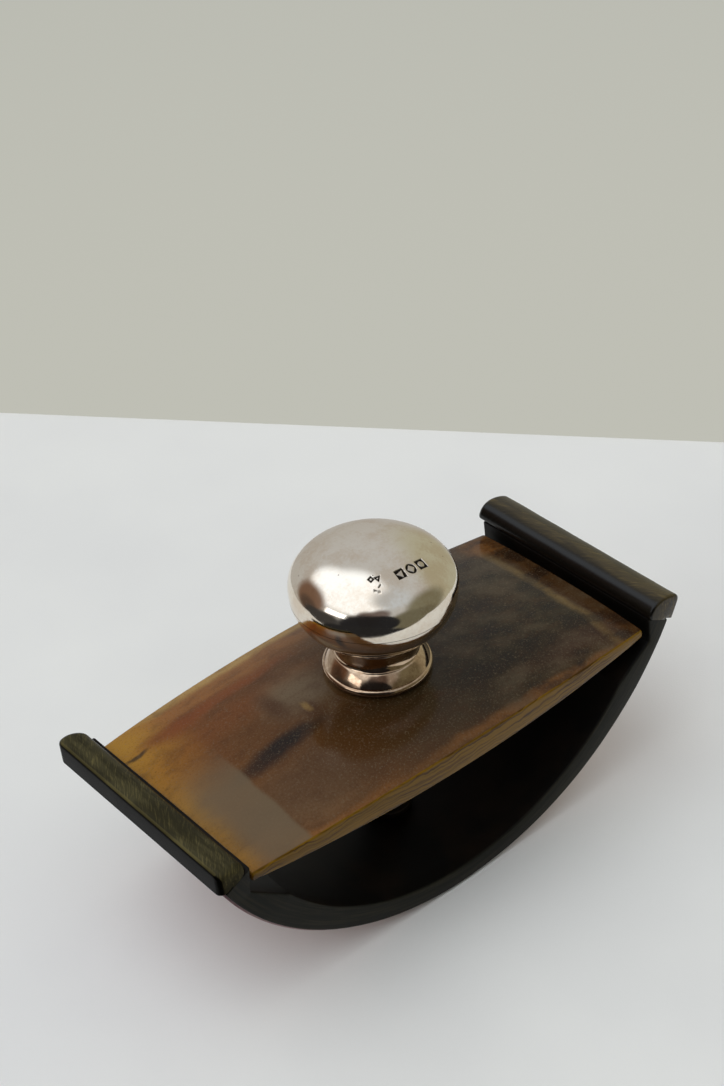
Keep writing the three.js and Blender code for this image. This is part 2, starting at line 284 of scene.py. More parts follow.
def waves(point, layers):
    """Sum of swells, each given as a height in millimetres, a size and a seed."""
    return sum(height * swell(point, size, seed) for height, size, seed in layers)


# The slab's arc

ROLL = 78.95
PAPER_THICKNESS = 0.5
SLAB_RADIUS = 78.4
SLAB_FLOOR = 5.0
END_ANGLE = math.radians(63)
SHOULDER = (52.8, 31.9)
NOTCH = (63.4, 39.9)
SHOULDER_ANGLE, NOTCH_ANGLE = (math.atan2(x, ROLL - z) for x, z in (SHOULDER, NOTCH))
LIP_TOP_RADIUS = 70.5
SLAB_HALF_WIDTH = box_mm("rocker_base")[1].y


def on_arc(radius, angle, y=0.0):
    return (radius * math.sin(angle), y, ROLL - radius * math.cos(angle))


def inner_radius(angle):
    """The slab's hollow side: a flatter arc, then a straight shoulder, a notch and the raised lip."""
    angle = abs(angle)
    rise = SHOULDER[1] - (ROLL - SLAB_RADIUS + SLAB_FLOOR)
    hollow = (SHOULDER[0] ** 2 + rise ** 2) / (2 * rise)
    drop = SLAB_RADIUS - SLAB_FLOOR - hollow
    if angle <= SHOULDER_ANGLE:
        return drop * math.cos(angle) + math.sqrt(hollow ** 2 - (drop * math.sin(angle)) ** 2)
    lip = on_arc(LIP_TOP_RADIUS, END_ANGLE)
    start, end = (SHOULDER, NOTCH) if angle <= NOTCH_ANGLE else (NOTCH, (lip[0], lip[2]))
    dx, dz = end[0] - start[0], end[1] - start[1]
    return ((ROLL - start[1]) * dx + start[0] * dz) / (math.cos(angle) * dx + math.sin(angle) * dz)


def soft_inner_radius(angle):
    """The inner radius with its corners eased, averaged over a short stretch of arc."""
    reach = math.radians(0.35)
    near = [min(max(angle + reach * k / 3, -END_ANGLE), END_ANGLE) for k in range(-3, 4)]
    return sum(inner_radius(a) for a in near) / len(near)


def rounded_section(low, high, half, low_round, high_round, steps=4, across=14):
    """A rounded rectangle as (radius, y) pairs, anticlockwise from its low corner at -half."""
    outline = []
    for r, y, size, start in (
        (low + low_round, low_round - half, low_round, math.pi),
        (high - high_round, high_round - half, high_round, 1.5 * math.pi),
        (high - high_round, half - high_round, high_round, 0),
        (low + low_round, half - low_round, low_round, math.pi / 2),
    ):
        turns = [start + math.pi / 2 * i / steps for i in range(steps + 1)]
        outline += [(r + size * math.cos(a), y + size * math.sin(a)) for a in turns]
        if start in (1.5 * math.pi, math.pi / 2):
            edge, reach = outline[-1]
            outline += [(edge, reach * (1 - 2 * i / across)) for i in range(1, across)]
    return outline


def end_inset(distance, size):
    """How far a face draws in, at a distance from an end rounded to a radius of size."""
    gap = max(size - distance, 0)
    return size - math.sqrt(max(size ** 2 - gap ** 2, 0))


def eased(start, end, rough_step, *finer):
    """Values from start to end in even steps, with finer ones round the (place, reach, step) given."""
    values = list(np.linspace(start, end, round((end - start) / rough_step) + 1))
    for place, reach, step in finer:
        values += list(np.arange(place - reach, place + reach, step))
    return sorted({round(float(v), 6) for v in values if start <= v <= end})


# Rocker

SLAB_END_ROUNDING = 0.4
INNER_ARRIS = 0.6
OUTER_ARRIS = 0.35
HOLLOW_WAVES = [(0.12, 14, 3)]
SIDE_WAVES = [(0.12, 18, 9)]


def rocker_mesh():
    degree = math.pi / 180
    marks = [(side * place, 1.2 * degree, 0.15 * degree)
             for side in (-1, 1) for place in (SHOULDER_ANGLE, NOTCH_ANGLE)]
    marks += [(side * END_ANGLE, 0.4 * degree, 0.05 * degree) for side in (-1, 1)]
    sections = []
    for angle in eased(-END_ANGLE, END_ANGLE, 0.9 * degree, *marks):
        inset = end_inset((END_ANGLE - abs(angle)) * SLAB_RADIUS, SLAB_END_ROUNDING)
        low = soft_inner_radius(angle) + inset
        half = SLAB_HALF_WIDTH - inset
        section = []
        for radius, y in rounded_section(low, SLAB_RADIUS - inset, half, INNER_ARRIS, OUTER_ARRIS):
            share = (SLAB_RADIUS - radius) / (SLAB_RADIUS - low)
            uneven = share * waves(on_arc(radius, angle, y), HOLLOW_WAVES)
            wavy = waves((60 * angle, 0, radius * 0.3), SIDE_WAVES) * (abs(y) / SLAB_HALF_WIDTH)
            section.append(on_arc(radius + uneven, angle, y - math.copysign(abs(wavy), y)))
        sections.append(section)
    return loft(sections)


# Ends of the slab: places along the cut face, inward from its outer corner, and up out of it

def on_end(side, along, height, y=0.0):
    x, _, z = on_arc(SLAB_RADIUS, END_ANGLE)
    x += height * math.cos(END_ANGLE) - along * math.sin(END_ANGLE)
    z += height * math.sin(END_ANGLE) + along * math.cos(END_ANGLE)
    return (side * x, y, z)


PEG_RADIUS = 0.8
PEG_INSET = 2.6
PEG_HOLE_RADIUS = 1.1
PEG_LOW = -4.2
PEG_HIGH = 2.6
PEG_REACH = 20.0


def on_peg(side, y, outline, columns):
    """A piece turned about the axis of a peg."""
    points, faces = lathe(outline, columns)
    lean = Matrix.Rotation(side * (math.pi / 2 - END_ANGLE), 4, "Y")
    place = Matrix.Translation(on_end(side, PEG_INSET, 0, y)) @ lean
    return [place @ Vector(point) for point in points], faces


def peg_cut(side, y, radius, low, high):
    return on_peg(side, y, [(0, low), (radius, low), (radius, high), (0, high)], 24)


# Paper round the slab, its ends turned in over the cut faces

PAPER_HALF_WIDTH = box_mm("blotting_paper")[1].y
PAPER_TUCK = 1.5
FOLD_RADIUS = 0.35
FOLD_START = 0.2
FOLD_OVERHANG = 0.3
PAPER_RAGGEDNESS = 0.18


def paper_path():
    """Middle line of the paper from end to end, as (place, way out) pairs of (x, z)."""
    middle = ROLL - PAPER_THICKNESS / 2
    arc = [(on_arc(middle, a), on_arc(middle + 1, a)) for a in np.linspace(-END_ANGLE, END_ANGLE, 141)]
    path = [((p[0], p[2]), (q[0] - p[0], q[2] - p[2])) for p, q in arc]
    turn_in = []
    for along, height, out_along, out_height in (
        [(FOLD_RADIUS * (1 - math.cos(a)) - FOLD_OVERHANG, FOLD_RADIUS * math.sin(a),
          -math.cos(a), math.sin(a)) for a in np.linspace(FOLD_START, math.pi / 2, 7)]
        + [(a, FOLD_RADIUS, 0, 1) for a in np.linspace(0.5, PAPER_TUCK, 4)]
    ):
        place = on_end(1, along, height)
        ahead = on_end(1, along + out_along, height + out_height)
        turn_in.append(((place[0], place[2]), (ahead[0] - place[0], ahead[2] - place[2])))
    start = [((-p[0], p[1]), (-q[0], q[1])) for p, q in reversed(turn_in)]
    return start + path + turn_in


def paper_mesh():
    sections = []
    across = 20
    for (x, z), (out_x, out_z) in paper_path():
        section = []
        for side, order in ((0.5, 1), (-0.5, -1)):
            for i in range(across + 1):
                share = order * (2 * i / across - 1)
                edge = PAPER_HALF_WIDTH - PAPER_RAGGEDNESS * abs(swell((x, 7 * share, z), 4, 21))
                shift = side * PAPER_THICKNESS
                section.append((x + out_x * shift, share * edge, z + out_z * shift))
        sections.append(section)
    return loft(sections)


# End bars: a rebate along the outer side of the seat takes the turned-in paper

REBATE = 1.9
REBATE_HEIGHT = 0.7
SEAT = 0.12
BAR_UNEVENNESS = 0.09
# Ends of each bar: shifts of the near and far ends from the CAD's, then how far each is rounded
LEFT_ENDS = (0.2, 0.5, 2.0, 2.6)
RIGHT_ENDS = (-0.2, -0.2, 0.8, 1.6)


def left_outline():
    """Wedge-like: an outer face that leans in, a crisp arris and a top that falls away inward."""
    outline = [(-1.3, REBATE_HEIGHT), (-0.4, 2.6), (0.75, 5.1)]
    outline += curve((0.75, 5.1), (1.15, 5.95), (2.0, 5.95), steps=6)
    outline += curve((2.0, 5.95), (3.9, 5.85), (5.7, 4.3), (6.7, 2.5), steps=9)
    outline += curve((6.7, 2.5), (7.2, 1.6), (7.1, 0.9), steps=4)
    outline += curve((7.1, 0.9), (7.1, SEAT), (6.4, SEAT), steps=3)
    return outline + [(4.0, SEAT), (REBATE, SEAT), (REBATE, REBATE_HEIGHT)]


def right_outline():
    """Half round and fuller, with a steep outer face."""
    outline = [(-0.8, REBATE_HEIGHT), (-0.75, 2.6), (-0.6, 5.3)]
    outline += curve((-0.6, 5.3), (-0.5, 6.95), (1.2, 6.95), steps=8)
    outline += curve((1.2, 6.95), (4.9, 6.95), (8.45, 5.0), (8.45, 2.0), steps=12)
    outline += curve((8.45, 2.0), (8.5, SEAT), (7.5, SEAT), steps=5)
    return outline + [(4.5, SEAT), (REBATE, SEAT), (REBATE, REBATE_HEIGHT)]


def bar_mesh(side, outline, near_shift, far_shift, near_round, far_round):
    """A bar along y, rounded over at both ends."""
    low, high = box_mm("left_end_bar")
    near, far = low.y + near_shift, high.y + far_shift
    alongs = [p[0] for p in outline]
    middle, reach = (min(alongs) + max(alongs)) / 2, (max(alongs) - min(alongs)) / 2
    top = max(p[1] for p in outline)
    ends = ((near, near_round + 0.2, 0.18), (far, far_round + 0.2, 0.18))
    sections = []
    for y in eased(near, far, 1.6, *ends):
        inset = max(end_inset(y - near, near_round), end_inset(far - y, far_round))
        section = []
        for along, height in outline:
            along = middle + (along - middle) * (1 - inset / reach)
            height = SEAT + (height - SEAT) * (1 - inset / (top - SEAT))
            lift = BAR_UNEVENNESS * swell((along, y, height), 7, side * 5) * min(height / 2, 1)
            section.append(on_end(side, along, height + lift, y))
        sections.append(section)
    return loft(sections)


# Top plate: a barrel-shaped plate, cambered both ways and thickest at the middle of its sides

PLATE_HALF_LENGTH = box_mm("top_plate")[1].x
PLATE_END_HALF_WIDTH = 28.8
PLATE_SIDE_BULGE = box_mm("top_plate")[1].y - PLATE_END_HALF_WIDTH
PLATE_CORNERS = (41.2, 43.6)
PLATE_END_CAMBER = 1.0
PLATE_EDGE_RISE = 1.8
PLATE_MIDDLE_CAMBER = 4.4
PLATE_EDGE_BELLY = 2.2
PLATE_HOLLOW = 5.8
CAMBER_POWER = 2.5
PLATE_HOLE_RADIUS = 3.2


def plate_heights(u, v):
    """Bottom and top of the plate, u along and v across, each from -1 to 1."""
    across, along = 1 - abs(v) ** CAMBER_POWER, 1 - u * u
    low = PLATE_CORNERS[0] + along * (PLATE_HOLLOW * across - PLATE_EDGE_BELLY)
    high = PLATE_CORNERS[1] + PLATE_END_CAMBER * across
    return low, high + along * (PLATE_EDGE_RISE + PLATE_MIDDLE_CAMBER * across)


TOP_ARRIS = 0.8
LOW_ARRIS = 0.4
ARRIS_LEAN = 0.35
EDGE_BELLY = 0.1
PLATE_END_ROUNDING = 0.5
PLATE_WAVES = [(0.05, 13, 31), (0.03, 6, 37)]


def plate_edge(u, half, inset):
    """The plate's long edge at +half as (y, z) pairs, from the top arris down to the lower one."""
    start = half - TOP_ARRIS * (1 - math.sin(ARRIS_LEAN))
    middle = plate_heights(u, start / half)[1] - inset - TOP_ARRIS * math.cos(ARRIS_LEAN)
    low = plate_heights(u, 1)[0] + inset + LOW_ARRIS
    top = [(half - TOP_ARRIS * (1 - math.cos(a)), middle + TOP_ARRIS * math.sin(a))
           for a in np.linspace(math.pi / 2 - ARRIS_LEAN, 0, 7)]
    belly = [(half + EDGE_BELLY * math.sin(math.pi * t), middle + (low - middle) * t)
             for t in (0.2, 0.4, 0.6, 0.8)]
    bottom = [(half - LOW_ARRIS * (1 - math.cos(a)), low - LOW_ARRIS * math.sin(a))
              for a in np.linspace(0, math.pi / 2, 5)]
    return top + belly + bottom


def plate_mesh():
    across = 56
    sections = []
    ends = [(side * PLATE_HALF_LENGTH, 0.7, 0.08) for side in (-1, 1)]
    for x in eased(-PLATE_HALF_LENGTH, PLATE_HALF_LENGTH, 1.3, *ends):
        u = x / PLATE_HALF_LENGTH
        inset = end_inset(PLATE_HALF_LENGTH - abs(x), PLATE_END_ROUNDING)
        half = PLATE_END_HALF_WIDTH + PLATE_SIDE_BULGE * (1 - u * u) - inset
        edge = plate_edge(u, half, inset)
        shares = [2 * i / across - 1 for i in range(1, across)]
        top = [(y, plate_heights(u, y / half)[1] - inset) for y in (edge[0][0] * t for t in shares)]
        low = [(y, plate_heights(u, y / half)[0] + inset) for y in (-edge[-1][0] * t for t in shares)]
        section = []
        for y, z in top + edge + low + [(-y, z) for y, z in reversed(edge)]:
            section.append((x, y, z + waves((x, y, 0), PLATE_WAVES)))
        sections.append(section)
    return loft(sections)


# Knob

KNOB_BASE = box_mm("knob_foot_bead")[0].z
BEAD_TOP = box_mm("knob_foot_bead")[1].z
FOOT_RADIUS = 13.4
BEAD_WIDTH = 1.9
SEAM_GAP = 0.06
SHOULDER_RADIUS = 12.7
FOOT_BULGE = 0.15
CREASE = (10.6, 56.1)
THROAT_DEPTH = 0.5
THROAT_RISE = 0.9
WAIST = (9.9, 58.4)
NECK_TOP = (9.9, 60.1)
NECK_RISE = 0.8
COLLAR_TOP = 61.1
COLLAR_RADIUS = 9.85
COLLAR_BORE = 8.4
COLLAR_BEAD = 0.28
BOWL_BASE = (10.0, COLLAR_TOP)
BOWL_BASE_SLOPE = 0.2
BOWL_FLARE = (14.2, 63.2)
BOWL_BELLY = (19.2, 67.6)
HEAD_RADIUS = 20.1
HEAD_MIDDLE = 75.4
KNOB_MIDDLE = 68
HEAD_TOP = box_mm("knob_dome")[1].z
SEAM = (19.92, 72.7)
RIM_CURVE = 20.0
SHELL = 0.9
COLUMNS = 128
DENTS = [(0.035, 9, 51), (0.012, 3.5, 57)]


def dented(point):
    """Handling dents too shallow to see except in what the silver reflects."""
    outward = Vector((point.x, point.y, (point.z - KNOB_MIDDLE) * 0.7)).normalized()
    return point + outward * waves(point, DENTS)


def bead_mesh():
    half = (BEAD_TOP - KNOB_BASE) / 2
    middle = (BEAD_TOP + KNOB_BASE) / 2
    inner = FOOT_RADIUS - BEAD_WIDTH
    round_side = [(FOOT_RADIUS - half + half * math.cos(a), middle + half * math.sin(a))
                  for a in np.linspace(-math.pi / 2, math.pi / 2, 17)]
    return lathe([(inner, KNOB_BASE), *round_side, (inner, BEAD_TOP)], COLUMNS, shape=dented)


def neck_outline(inset):
    """A conical foot up to a crease, then a nearly upright throat."""
    def at(point, out=0.0, up=0.0):
        return (point[0] + out - inset, point[1] + up)

    foot = (SHOULDER_RADIUS, BEAD_TOP + SEAM_GAP)
    slope = ((foot[0] + CREASE[0]) / 2, (foot[1] + CREASE[1]) / 2)
    throat = at(CREASE, -THROAT_DEPTH, FOOT_BULGE)
    return [
        at(foot),
        *curve(at(foot), at(slope, FOOT_BULGE, FOOT_BULGE), at(CREASE), steps=9),
        *curve(at(CREASE), throat, at(WAIST, up=-THROAT_RISE), at(WAIST), steps=12),
        *curve(at(WAIST), at(WAIST, up=NECK_RISE), at(NECK_TOP), steps=5),
    ]


def collar_mesh():
    """Two fine beads, one over the other."""
    low, high = NECK_TOP[1] + SEAM_GAP, COLLAR_TOP - SEAM_GAP
    beads = [(COLLAR_RADIUS + COLLAR_BEAD * abs(math.sin(math.tau * t)) ** 0.7, low + (high - low) * t)
             for t in np.linspace(0, 1, 25)]
    return lathe([(COLLAR_BORE, low), *beads, (COLLAR_BORE, high)], COLUMNS)


def bowl_outline(inset):
    start = (BOWL_BASE[0] - inset, BOWL_BASE[1] + BOWL_BASE_SLOPE * inset)
    end = (SEAM[0] - inset, SEAM[1] - SEAM_GAP)
    flare, belly = ((radius - inset, height + inset) for radius, height in (BOWL_FLARE, BOWL_BELLY))
    return [start, *curve(start, flare, belly, end, steps=30)]


def shell_mesh(outline):
    """Thin spun silver between an outline and the same one drawn in."""
    return lathe([*outline(0), *reversed(outline(SHELL))], COLUMNS, shape=dented)


def dome_point(angle, inset=0.0):
    height = (HEAD_TOP - HEAD_MIDDLE if angle > 0 else RIM_CURVE) - inset
    return ((HEAD_RADIUS - inset) * math.cos(angle), HEAD_MIDDLE + height * math.sin(angle))


# Small struck marks on the dome: plain recessed polygons, each round a smaller raised one, and two nicks

MARK_DEPTH = 0.2
MARK_DARKENING = 1.3
# Each mark: place, sides, size, turn, then sides and size of the raised shape in it
MARKS = (
    ((-1.3, -11.7), 4, 1.2, 0.7, 3, 0.5),
    ((1.8, -11.8), 24, 1.3, 0.0, 4, 0.68),
    ((4.9, -11.7), 4, 1.2, 0.85, 24, 0.72),
    ((-7.6, -8.7), 4, 0.62, 0.9, 24, 0.26),
    ((-6.3, -9.5), 3, 0.5, 0.2, 24, 0.16),
)
NICKS = (((-8.7, -11.1), (-7.9, -12.3)), ((-7.5, -11.3), (-6.8, -11.1)))
NICK_DEPTH = 0.13
MARKED_RADII = (7.6, 14.2)
MARKED_ANGLES = (math.radians(-142), math.radians(-60))
DOME_TOLERANCE = 0.4


def polygon_gap(x, y, sides, size):
    """Distance outside a regular polygon whose sides lie size from its middle."""
    sector = math.tau / sides
    turn = (math.atan2(y, x) % sector) - sector / 2
    return math.hypot(x, y) * math.cos(turn) - size


def step(value, low, high):
    share = min(max((value - low) / (high - low), 0), 1)
    return share * share * (3 - 2 * share)


def mark_depth(x, y):
    depth = 0.0
    for (at_x, at_y), sides, size, turn, raised_sides, raised_size in MARKS:
        u, v = x - at_x, y - at_y
        u, v = u * math.cos(turn) + v * math.sin(turn), v * math.cos(turn) - u * math.sin(turn)
        inside = 1 - step(polygon_gap(u, v, sides, size), -0.12, 0.06)
        raised = 1 - step(polygon_gap(u, v, raised_sides, raised_size), -0.05, 0.14)
        depth = max(depth, MARK_DEPTH * inside * (1 - 0.85 * raised))
    for start, end in NICKS:
        sx, sy = end[0] - start[0], end[1] - start[1]
        t = ((x - start[0]) * sx + (y - start[1]) * sy) / (sx * sx + sy * sy)
        t = min(max(t, 0), 1)
        away = math.hypot(x - start[0] - t * sx, y - start[1] - t * sy)
        depth = max(depth, NICK_DEPTH * (1 - step(away, 0.06, 0.24)))
    return depth


def on_dome(point):
    """Whether a point lies on the dome's outer face, and not on its lining."""
    share = min(math.hypot(point[0], point[1]) / HEAD_RADIUS, 1)
    surface = HEAD_MIDDLE + (HEAD_TOP - HEAD_MIDDLE) * math.sqrt(1 - share ** 2)
    return abs(surface - point[2]) < DOME_TOLERANCE


def struck(point):
    depth = mark_depth(point.x, point.y) if point.z > HEAD_MIDDLE and on_dome(point) else 0
    return dented(point) - Vector((0, 0, depth))


def dome_mesh():
    start = math.asin((SEAM[1] + SEAM_GAP - HEAD_MIDDLE) / RIM_CURVE)
    inner_mark, outer_mark = (math.acos(r / HEAD_RADIUS) for r in reversed(MARKED_RADII))
    rows = [*np.linspace(start, inner_mark, 40)[:-1], *np.linspace(inner_mark, outer_mark, 78)[:-1],
            *np.linspace(outer_mark, math.pi / 2, 16)]
    outer = [dome_point(a) for a in rows[:-1]] + [(0, HEAD_TOP)]
    inner = [(0, HEAD_TOP - SHELL)]
    inner += [dome_point(a, SHELL) for a in np.linspace(math.pi / 2, 0, 20)[1:]]
    inner += [(inner[-1][0], SEAM[1] + SEAM_GAP)]
    angles = [*np.linspace(MARKED_ANGLES[0], MARKED_ANGLES[1], 200)]
    angles += [*np.linspace(MARKED_ANGLES[1], MARKED_ANGLES[0] + math.tau, 92)[1:-1]]
    return lathe([*outer, *inner], angles=angles, shape=struck)


# Hidden parts, the bolt and the pillar

FELT_FUZZ = 0.06
FOOT_PLATE = box_mm("knob_foot_plate")
BUSH = box_mm("threaded_bush")
BUSH_RADIUS = BUSH[1].x
BOLT_RADIUS = 2.25
BORE = 2.55
PITCH = 1.0
BOLT_HEAD_HEIGHT = 2.6
BOLT_HEAD_CLEARANCE = 0.3
BOLT_THREAD_LENGTH = 17
BOLT_THREAD_DEPTH = 0.28
BUSH_THREAD_DEPTH = 0.2
CORE_NECK_RADIUS = 8.0
PILLAR_FLANGE = 1.6
PILLAR_HEAD = 6.0
PILLAR_NECK = 4.6
PILLAR_WAIST = 3.2


def threaded(low, high, depth):
    """A shape for lathe that works a right-hand thread into the stretch between two heights."""
    def shape(point):
        radius = math.hypot(point.x, point.y)
        if radius < 0.1 or not low <= point.z <= high:
            return point
        phase = point.z / PITCH - math.atan2(point.y, point.x) / math.tau
        fade = min((point.z - low) / PITCH, (high - point.z) / PITCH, 1)
        share = 1 - fade * depth / radius * (0.5 - 0.5 * math.cos(math.tau * phase))
        return Vector((point.x * share, point.y * share, point.z))
    return shape


def washer_mesh():
    low, high = box_mm("felt_washer")
    inner, outer = PLATE_HOLE_RADIUS + 0.05, high.x

    def fuzzy(point):
        lift = swell(point, 1.3, 5) if point.z > (low.z + high.z) / 2 else 0
        return point + Vector((0, 0, FELT_FUZZ * (lift - 1)))

    top = [(outer - 0.25, high.z), (outer - 4, high.z), (inner + 2, high.z), (inner + 0.2, high.z)]
    ring = [(inner, low.z + 0.1), (outer, low.z + 0.1), (outer, high.z - 0.25), *top, (inner, high.z - 0.2)]
    return lathe(ring, 64, shape=fuzzy)


def foot_plate_mesh():
    low, high = FOOT_PLATE
    inner, outer, edge = BUSH_RADIUS + 0.1, high.x, 0.2
    ring = [(inner, low.z), (outer - edge, low.z), (outer, low.z + edge), (outer, high.z), (inner, high.z)]
    return lathe(ring, 64)


def bush_mesh():
    low, high = BUSH
    roof = high.z - 1.5
    ribs = [(BUSH_RADIUS - 0.25 * (i % 2), low.z + 1 + (high.z - low.z - 2) * i / 14) for i in range(15)]
    bore = [(BORE, roof - 1.5 - (roof - 1.5 - low.z) * i / 96) for i in range(97)]
    outline = [(0, roof), *bore, (BUSH_RADIUS, low.z), *ribs, (BUSH_RADIUS, high.z), (0, high.z)]
    shape = threaded(low.z + 0.5, roof - 1.6, -BUSH_THREAD_DEPTH)
    return lathe(outline, 32, shape=lambda p: shape(p) if math.hypot(p.x, p.y) < BORE + 0.1 else p)


def core_mesh():
    gap = SHELL + 0.3
    low = FOOT_PLATE[1].z + 0.1
    dome = [dome_point(a, gap) for a in np.linspace(-0.17, math.pi / 2, 24)]
    dome[-1] = (0, dome[-1][1])
    bowl = [p for p in bowl_outline(gap) if p[1] > COLLAR_TOP + 0.5]
    neck = [p for p in neck_outline(gap) if low + 1 < p[1] < NECK_TOP[1] - 0.2]
    bore = BUSH_RADIUS + 0.1
    outline = [(0, BUSH[1].z + 0.1), (bore, BUSH[1].z + 0.1), (bore, low), (CREASE[0], low)]
    outline += [*neck, (CORE_NECK_RADIUS, NECK_TOP[1]), (CORE_NECK_RADIUS, COLLAR_TOP), *bowl, *dome]
    return lathe(outline, 64)


def bolt_mesh():
    low, high = box_mm("centre_bolt")
    head, edge, chamfer = high.x, 0.15, 0.7
    thread_from = high.z - BOLT_THREAD_LENGTH
    rows = [(BOLT_RADIUS, z) for z in np.linspace(thread_from, high.z - chamfer, 150)]
    outline = [(0, low.z), (head - edge, low.z), (head, low.z + edge),
               (BOLT_RADIUS, low.z + BOLT_HEAD_HEIGHT)]
    outline += [*rows, (BOLT_RADIUS - chamfer, high.z), (0, high.z)]
    return lathe(outline, 40, shape=threaded(thread_from, high.z, BOLT_THREAD_DEPTH))


def pillar_mesh():
    low, high = box_mm("spacer_pillar")
    foot, edge, neck = high.x, 0.2, PILLAR_NECK
    foot_top, head_low = low.z + PILLAR_FLANGE, high.z - PILLAR_FLANGE
    neck_low, neck_high = foot_top + PILLAR_FLANGE, head_low - PILLAR_FLANGE
    outline = [(BORE, low.z), (foot - edge, low.z), (foot, low.z + edge), (foot, foot_top - edge),
               (foot - edge, foot_top)]
    outline += curve((foot - edge, foot_top), (neck, foot_top + edge), (neck, neck_low), steps=6)
    outline += curve((neck, neck_low), (PILLAR_WAIST, (low.z + high.z) / 2), (neck, neck_high), steps=16)
    outline += curve((neck, neck_high), (neck, head_low), (PILLAR_HEAD - edge, head_low), steps=6)
    outline += [(PILLAR_HEAD, head_low + edge), (PILLAR_HEAD, high.z - edge),
                (PILLAR_HEAD - edge, high.z), (BORE, high.z)]
    return lathe(outline, 48)


def peg_mesh(side, y):
    ease = 0.2
    outline = [(0, PEG_LOW), (PEG_RADIUS - ease, PEG_LOW), (PEG_RADIUS, PEG_LOW + ease),
               (PEG_RADIUS, PEG_HIGH - ease), (PEG_RADIUS - ease, PEG_HIGH), (0, PEG_HIGH)]
    return on_peg(side, y, outline, 20)


# Materials

def warped(s, place, size, amount, seed):
    """A place pushed about by smooth noise, so that patches and streaks have natural edges."""
    shifted = s.vector("ADD", place, (seed, seed * 0.7, 0))
    push = s.node("ShaderNodeTexNoise", {"Vector": shifted, "Scale": 1 / size, "Detail": 3})["Color"]
    push = s.vector("SUBTRACT", push, (0.5, 0.5, 0.5))
    return s.vector("ADD", place, s.stretch(push, (amount,) * 3))


def patch(s, place, middle, size, soft):
    """1 inside an oval patch on the plate, easing to 0 outside it."""
    away = s.stretch(s.vector("SUBTRACT", place, (*middle, 0)), (1 / size[0], 1 / size[1], 0))
    return s.band(s.vector("LENGTH", away), 1 + soft, max(1 - soft, 0))


AMBER = colour(164, 118, 36)
PALE_GOLD = colour(172, 138, 76)
TAN = colour(138, 88, 40)
RED_BROWN = colour(116, 58, 18)
BROWN = colour(98, 62, 28)
UMBER = colour(68, 38, 14)
GREY_OLIVE = colour(54, 45, 26)
DARK_OLIVE = colour(44, 37, 22)
ASH = colour(106, 90, 68)
INK = colour(20, 16, 16)
PURPLE_BROWN = colour(64, 36, 24)

# Patches of the plate, each laid over the ones before it: colour, middle, size, softness, strength
PLATE_PATCHES = (
    (BROWN, (-44, -8), (22, 26), 0.6, 0.8),
    (UMBER, (-14, 0), (30, 40), 0.7, 0.55),
    (GREY_OLIVE, (34, -2), (46, 44), 0.6, 1.0),
    (TAN, (-36, 26), (32, 5.0), 0.6, 0.85),
    (PALE_GOLD, (-34, 31), (44, 2.6), 0.5, 0.8),
    (AMBER, (-60, 18), (10, 18), 0.7, 1.0),
    (AMBER, (-62, -6), (5, 26), 0.6, 0.75),
    (RED_BROWN, (-34, 20), (19, 2.3), 0.6, 0.8),
    (RED_BROWN, (-46, 19), (8, 3.2), 0.7, 0.7),
    (RED_BROWN, (-33, 12), (16, 4), 0.8, 0.35),
    (RED_BROWN, (-54, 8), (9, 8), 0.9, 0.45),
    (ASH, (-38, -20), (14, 8), 0.7, 0.4),
    (ASH, (-21, 6), (8, 7), 0.7, 0.85),
    (UMBER, (-27.5, 6), (2.4, 5.5), 0.8, 0.8),
    (UMBER, (-22, -3.5), (2.2, 5.0), 0.8, 0.8),
    (UMBER, (-14, -9), (9, 3.5), 0.8, 0.7),
    (INK, (-36, -6), (11, 2.8), 0.6, 0.95),
    (INK, (-29, -6.5), (6, 1.6), 0.8, 0.6),
    (INK, (-58, 18.6), (3.2, 0.7), 0.6, 0.8),
    (DARK_OLIVE, (2, -16), (24, 14), 0.8, 0.8),
    (DARK_OLIVE, (24, 12), (20, 14), 0.8, 0.8),
    (UMBER, (-30, -18), (30, 5), 0.8, 0.45),
    (PURPLE_BROWN, (46, -22), (16, 4.2), 0.8, 0.9),
    (DARK_OLIVE, (36, -14), (24, 7), 0.8, 0.8),
    (DARK_OLIVE, (56, 8), (8, 24), 0.8, 0.7),
    (BROWN, (59, -4), (5, 30), 0.6, 0.6),
    (PALE_GOLD, (54, -2), (1.3, 24), 0.9, 0.4),
    (TAN, (58, 24), (7, 5), 0.6, 0.7),
    (TAN, (30, -30.4), (36, 1.5), 0.6, 0.7),
    (TAN, (-44, -30.2), (20, 1.6), 0.6, 0.8),
    (PALE_GOLD, (-22.5, 0), (0.9, 1.8), 0.6, 0.5),
)


